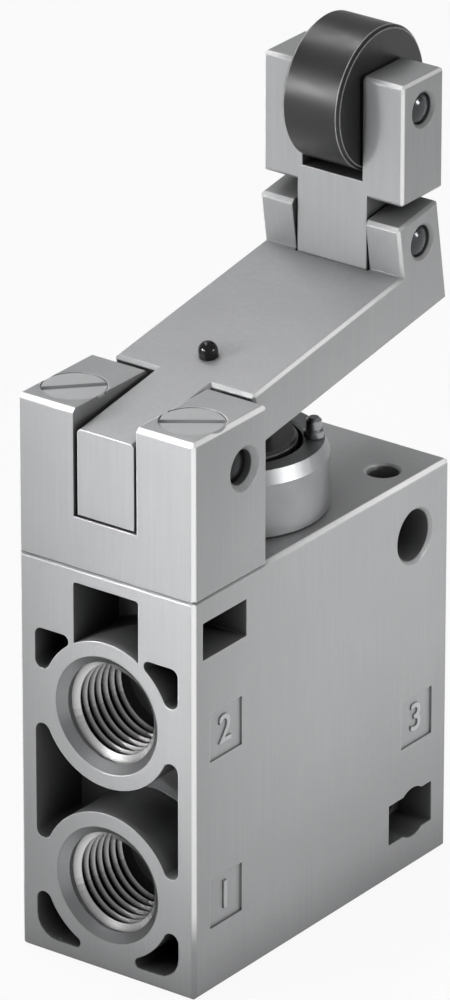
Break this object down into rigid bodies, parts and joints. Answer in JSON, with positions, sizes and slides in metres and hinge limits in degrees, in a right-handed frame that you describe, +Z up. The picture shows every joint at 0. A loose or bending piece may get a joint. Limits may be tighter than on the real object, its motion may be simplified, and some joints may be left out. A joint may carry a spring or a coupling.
{
  "type": "roller lever air valve",
  "caption": "Upright block-shaped air valve with cored port face, slotted bearing block and a sloping lever whose folding fork carries a roller; the lever presses a plunger that opens a poppet.",
  "frame": {"origin": "middle of the body's base, on the plunger axis", "axes": "+Z up along the plunger axis, -Y out of the face with the supply and working ports, X across the width between the two flat mounting sides"},
  "size_m": [0.026, 0.0586, 0.1071],
  "materials": {
    "cast_body": "satin die-cast",
    "cast_lever": "satin die-cast",
    "turned_bush": "fine turned",
    "seal_rubber": "matt",
    "brass": "turned",
    "bright_steel": "polished",
    "screw_steel": "zinc plated",
    "pin_steel": "ground",
    "dark_steel": "hardened",
    "black_steel": "black oxide",
    "spring_steel": "drawn wire",
    "roller_plastic": "satin black",
    "plunger_plastic": "satin black"
  },
  "bodies": {
    "housing": {"valve_body": "cast_body", "guide_bush": "turned_bush", "bush_seals": "seal_rubber", "stem_seals": "seal_rubber", "valve_seat": "brass", "seat_seal": "seal_rubber", "closing_plug": "turned_bush", "plug_seal": "seal_rubber", "gallery_balls": "bright_steel", "bearing_block": "cast_lever", "block_screws": "screw_steel", "lever_pin": "pin_steel", "stop_pegs": "pin_steel", "plunger_spring": "spring_steel", "poppet_spring": "spring_steel"},
    "lever": {"lever": "cast_lever", "wear_pad": "dark_steel", "pad_rivet": "black_steel", "trip_pin": "pin_steel", "trip_spring": "spring_steel"},
    "fork": {"roller_fork": "cast_lever", "roller_pin": "pin_steel"},
    "roller": {"roller": "roller_plastic"},
    "plunger": {"plunger_head": "plunger_plastic", "plunger_stem": "bright_steel", "stem_clip": "dark_steel"},
    "poppet": {"poppet": "brass", "poppet_seal": "seal_rubber"}
  },
  "joints": [
    {"name": "lever_pivot", "type": "hinge", "parent": "housing", "child": "lever", "pos_m": [0, -0.016, 0.0662], "axis": [-1, 0, 0], "range_deg": [0, 10], "stiffness_Nm_per_rad": 0.58, "springref_deg": -22.17},
    {"name": "trip_fold", "type": "hinge", "parent": "lever", "child": "fork", "pos_m": [0, 0.02358, 0.08097], "axis": [1, 0, 0], "range_deg": [0, 60], "stiffness_Nm_per_rad": 0.02, "springref_deg": -34.38, "deforming": ["trip_spring"]},
    {"name": "roller_spin", "type": "hinge", "parent": "fork", "child": "roller", "pos_m": [0, 0.02358, 0.09807], "axis": [1, 0, 0], "continuous": true},
    {"name": "plunger_slide", "type": "slide", "parent": "housing", "child": "plunger", "axis": [0, 0, -1], "range_m": [0, 0.00272], "deforming": ["plunger_spring"]},
    {"name": "poppet_slide", "type": "slide", "parent": "housing", "child": "poppet", "axis": [0, 0, -1], "range_m": [0, 0.00197], "deforming": ["poppet_spring"]}
  ],
  "couplings": [
    {"joint": "plunger_slide", "follows": "lever_pivot", "m_per_rad": 0.015504},
    {"joint": "poppet_slide", "follows": "lever_pivot", "m_per_rad": 0.011207}
  ]
}
